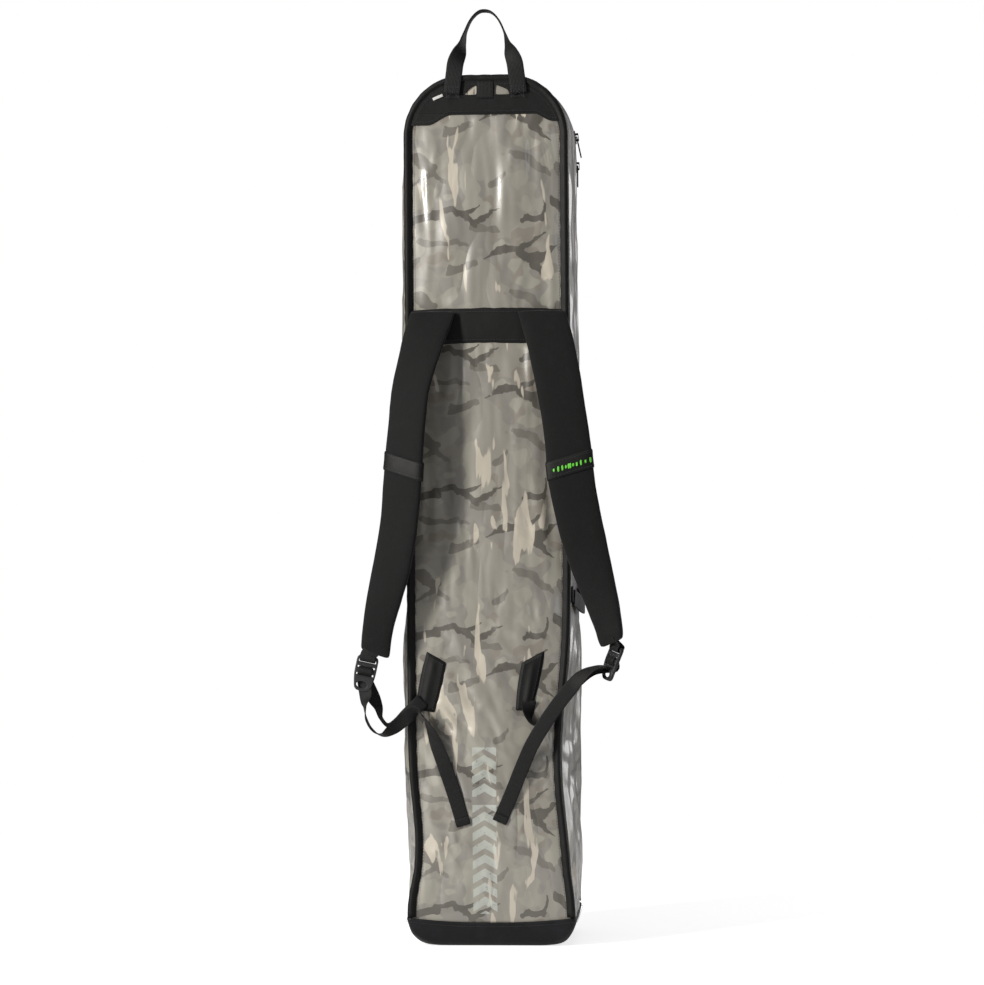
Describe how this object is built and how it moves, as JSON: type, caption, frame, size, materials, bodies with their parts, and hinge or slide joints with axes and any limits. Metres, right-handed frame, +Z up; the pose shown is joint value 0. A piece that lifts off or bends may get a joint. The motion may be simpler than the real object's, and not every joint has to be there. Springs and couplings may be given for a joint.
{
  "type": "hockey stick bag",
  "caption": "Tall padded camouflage bag for sticks, carried by padded shoulder straps or grab handles, with a full-length zipped lid and a front pocket.",
  "frame": {"origin": "middle of the flat face under the base boot, where the bag stands", "axes": "+Z up the bag to its top handle, -Y towards the harness side, +Y towards the zipped lid, +X to the side that carries the side handle"},
  "size_m": [0.3216, 0.2347, 1.1229],
  "materials": {
    "camo_fabric": "glossy coated polyester in a grey and taupe camouflage print",
    "black_fabric": "matte black coated fabric",
    "black_webbing": "black woven webbing",
    "strap_knit": "matte black knit over foam",
    "lining_fabric": "plain dark grey lining",
    "foam_padding": "closed-cell foam sheet",
    "stiffener_board": "semi-rigid plastic board",
    "zip_tape": "woven zip tape",
    "zip_coil": "nylon coil",
    "slider_metal": "black enamelled zinc",
    "pull_rubber": "moulded soft plastic",
    "buckle_plastic": "moulded acetal, satin"
  },
  "bodies": {
    "root": {"back_panel": "camo_fabric", "back_foam": "foam_padding", "back_lining": "lining_fabric", "back_piping": "black_fabric", "left_gusset": "camo_fabric", "right_gusset": "camo_fabric", "top_gusset": "camo_fabric", "gusset_foam": "foam_padding", "gusset_lining": "lining_fabric", "base_boot": "black_fabric", "base_board": "stiffener_board", "top_cap": "black_fabric", "hanging_loop": "black_webbing", "shoulder_yoke": "black_fabric", "left_anchor_wing": "black_fabric", "right_anchor_wing": "black_fabric", "left_handle_foot": "black_webbing", "right_handle_foot": "black_webbing", "side_handle_feet": "black_webbing", "left_adjuster_run": "black_webbing", "right_adjuster_run": "black_webbing", "left_adjuster_tail": "black_webbing", "right_adjuster_tail": "black_webbing", "body_zip_coil": "zip_coil", "body_zip_tape": "zip_tape", "stick_divider": "lining_fabric", "lower_stick_strap": "black_webbing", "upper_stick_strap": "black_webbing"},
    "lid": {"lid_panel": "camo_fabric", "lid_foam": "foam_padding", "lid_lining": "lining_fabric", "lid_side": "camo_fabric", "lid_piping": "black_fabric", "lid_hinge_tape": "black_fabric", "lid_zip_coil": "zip_coil", "lid_zip_tape": "zip_tape", "pocket_gusset": "camo_fabric", "pocket_panel": "camo_fabric", "pocket_zip_coil": "zip_coil", "pocket_zip_tape": "zip_tape"},
    "lower_slider": {"lower_slider": "slider_metal"},
    "lower_pull": {"lower_slider_pull": "pull_rubber"},
    "upper_slider": {"upper_slider": "slider_metal"},
    "upper_pull": {"upper_slider_pull": "pull_rubber"},
    "pocket_slider": {"pocket_slider": "slider_metal"},
    "pocket_pull": {"pocket_slider_pull": "pull_rubber"},
    "left_strap": {"left_strap_pad": "strap_knit", "left_strap_keeper": "black_fabric", "left_lock_loop": "black_webbing", "left_ladder_lock": "buckle_plastic"},
    "right_strap": {"right_strap_pad": "strap_knit", "right_strap_keeper": "black_fabric", "right_lock_loop": "black_webbing", "right_ladder_lock": "buckle_plastic"},
    "top_handle": {"top_handle": "black_webbing"},
    "side_handle": {"side_handle": "black_webbing"}
  },
  "joints": [
    {"name": "lid_hinge", "type": "hinge", "parent": "root", "child": "lid", "pos_m": [0, 0.08, 0.037], "axis": [-1, 0, 0], "range_deg": [0, 90]},
    {"name": "lower_slider_travel", "type": "slide", "parent": "lid", "child": "lower_slider", "axis": [0, 0, -1], "range_m": [0, 0.887]},
    {"name": "lower_pull_swing", "type": "hinge", "parent": "lower_slider", "child": "lower_pull", "pos_m": [0.1042, 0.05, 0.947], "axis": [0, -1, 0], "range_deg": [0, 120]},
    {"name": "upper_slider_corner_travel", "type": "hinge", "parent": "lid", "child": "upper_slider", "pos_m": [0.027, 0.05, 0.972], "axis": [0, -1, 0], "range_deg": [0, 80]},
    {"name": "upper_pull_swing", "type": "hinge", "parent": "upper_slider", "child": "upper_pull", "pos_m": [0.10345, 0.05, 0.98274], "axis": [0, -1, 0], "range_deg": [0, 120]},
    {"name": "pocket_slider_travel", "type": "slide", "parent": "lid", "child": "pocket_slider", "axis": [0, 0, -1], "range_m": [0, 0.3]},
    {"name": "pocket_pull_swing", "type": "hinge", "parent": "pocket_slider", "child": "pocket_pull", "pos_m": [0.044, 0.1007, 0.836], "axis": [1, 0, 0], "range_deg": [0, 150]},
    {"name": "left_strap_swing", "type": "hinge", "parent": "root", "child": "left_strap", "pos_m": [-0.063, -0.0782, 0.7645], "axis": [-1, 0, 0], "range_deg": [0, 12], "deforming": ["left_adjuster_run", "left_adjuster_tail"]},
    {"name": "right_strap_swing", "type": "hinge", "parent": "root", "child": "right_strap", "pos_m": [0.063, -0.0782, 0.7645], "axis": [-1, 0, 0], "range_deg": [0, 12], "deforming": ["right_adjuster_run", "right_adjuster_tail"]},
    {"name": "top_handle_flop", "type": "hinge", "parent": "root", "child": "top_handle", "pos_m": [0, -0.0797, 1.0479], "axis": [1, 0, 0], "range_deg": [-70, 110]},
    {"name": "side_handle_lift", "type": "hinge", "parent": "root", "child": "side_handle", "pos_m": [0.1035, -0.016, 0.43], "axis": [0, -1, 0], "range_deg": [0, 120]}
  ]
}
